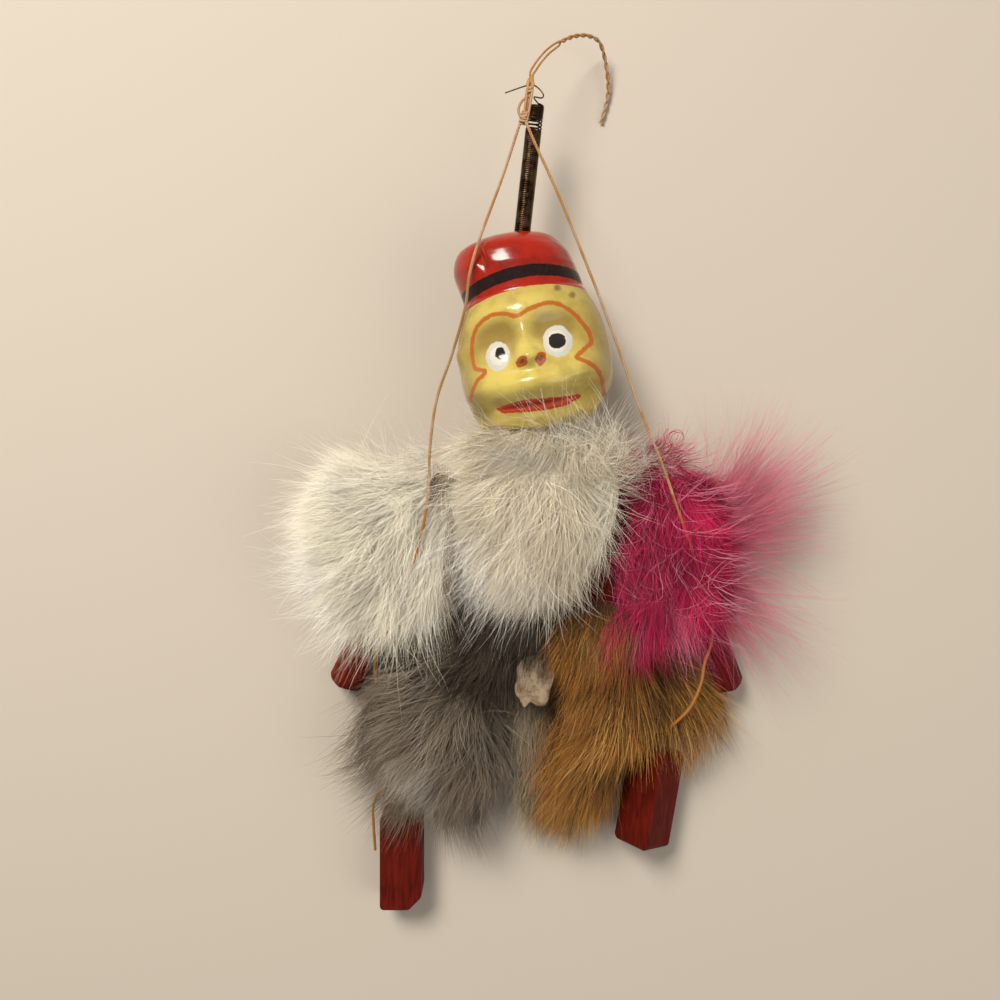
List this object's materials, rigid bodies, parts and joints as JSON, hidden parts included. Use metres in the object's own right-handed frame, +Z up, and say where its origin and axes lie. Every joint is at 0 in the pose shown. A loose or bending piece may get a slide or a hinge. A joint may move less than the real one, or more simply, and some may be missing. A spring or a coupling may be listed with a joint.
{
  "type": "celluloid monkey toy",
  "caption": "Old jumping monkey toy: a moulded celluloid head with a painted hat, wooden limbs in dyed fur pads, and a coil spring with pull strings.",
  "frame": {"origin": "on the floor under the body, on the back pelt's flat face, where the toy lies on its back", "axes": "+Z up, out of the face and the chest; +Y towards the head and the spring; +X towards the pink arm"},
  "size_m": [0.0906, 0.1586, 0.027],
  "materials": {
    "red_wood": "painted red, worn",
    "bare_wood": "bare",
    "staple_wire": "dark wire",
    "spring_steel": "dark, oiled",
    "celluloid": "glossy celluloid, painted",
    "thread": "twisted thread",
    "white_fur": "long rabbit fur",
    "pink_fur": "long dyed fur",
    "grey_fur": "long fur",
    "tan_fur": "long dyed fur, clumped",
    "pale_fur": "long fur",
    "back_pelt": "fur pelt"
  },
  "bodies": {
    "torso": {"body_block": "red_wood", "neck_dowel": "bare_wood", "spring_post": "staple_wire", "head_front": "celluloid", "head_back": "celluloid", "spring": "spring_steel", "chest_fur": "white_fur", "belly_fur": "grey_fur", "back_pelt": "back_pelt", "pale_tuft": "pale_fur", "white_shoulder_staple": "staple_wire", "pink_shoulder_staple": "staple_wire", "grey_hip_staple": "staple_wire", "tan_hip_staple": "staple_wire", "white_upper_string": "thread", "pink_upper_string": "thread", "white_lower_string": "thread", "pink_lower_string": "thread"},
    "hanger": {"spring_hook": "spring_steel", "string_knot": "thread", "string_tail": "thread"},
    "white_arm": {"white_arm_bar": "red_wood", "white_arm_fur": "white_fur"},
    "pink_arm": {"pink_arm_bar": "red_wood", "pink_arm_fur": "pink_fur"},
    "grey_leg": {"grey_leg_bar": "red_wood", "grey_leg_fur": "grey_fur"},
    "tan_leg": {"tan_leg_bar": "red_wood", "tan_leg_fur": "tan_fur"},
    "grey_foot": {"grey_foot": "red_wood", "grey_ankle_staple": "staple_wire"},
    "tan_foot": {"tan_foot": "red_wood", "tan_ankle_staple": "staple_wire"}
  },
  "joints": [
    {"name": "spring_stretch", "type": "slide", "parent": "torso", "child": "hanger", "axis": [0.1097, 0.994, 0], "range_m": [0, 0.02], "stiffness_N_per_m": 180, "deforming": ["spring", "white_upper_string", "pink_upper_string"]},
    {"name": "white_shoulder", "type": "hinge", "parent": "torso", "child": "white_arm", "pos_m": [-0.019, 0.0118, 0.007], "axis": [0, 0, -1], "range_deg": [-5, 75], "deforming": ["white_upper_string", "white_lower_string"]},
    {"name": "pink_shoulder", "type": "hinge", "parent": "torso", "child": "pink_arm", "pos_m": [0.019, 0.0128, 0.007], "axis": [0, 0, 1], "range_deg": [-5, 75], "deforming": ["pink_upper_string", "pink_lower_string"]},
    {"name": "grey_hip", "type": "hinge", "parent": "torso", "child": "grey_leg", "pos_m": [-0.009, -0.021, 0.007], "axis": [0, 0, -1], "range_deg": [-8, 10], "deforming": ["white_lower_string"]},
    {"name": "tan_hip", "type": "hinge", "parent": "torso", "child": "tan_leg", "pos_m": [0.008, -0.021, 0.007], "axis": [0, 0, 1], "range_deg": [-8, 10], "deforming": ["pink_lower_string"]},
    {"name": "grey_ankle", "type": "hinge", "parent": "grey_leg", "child": "grey_foot", "pos_m": [-0.02645, -0.04601, 0.0035], "axis": [0, 0, -1], "range_deg": [-20, 30], "deforming": ["white_lower_string"]},
    {"name": "tan_ankle", "type": "hinge", "parent": "tan_leg", "child": "tan_foot", "pos_m": [0.02069, -0.0346, 0.00508], "axis": [0, 0, 1], "range_deg": [-6, 30], "deforming": ["pink_lower_string"]}
  ]
}
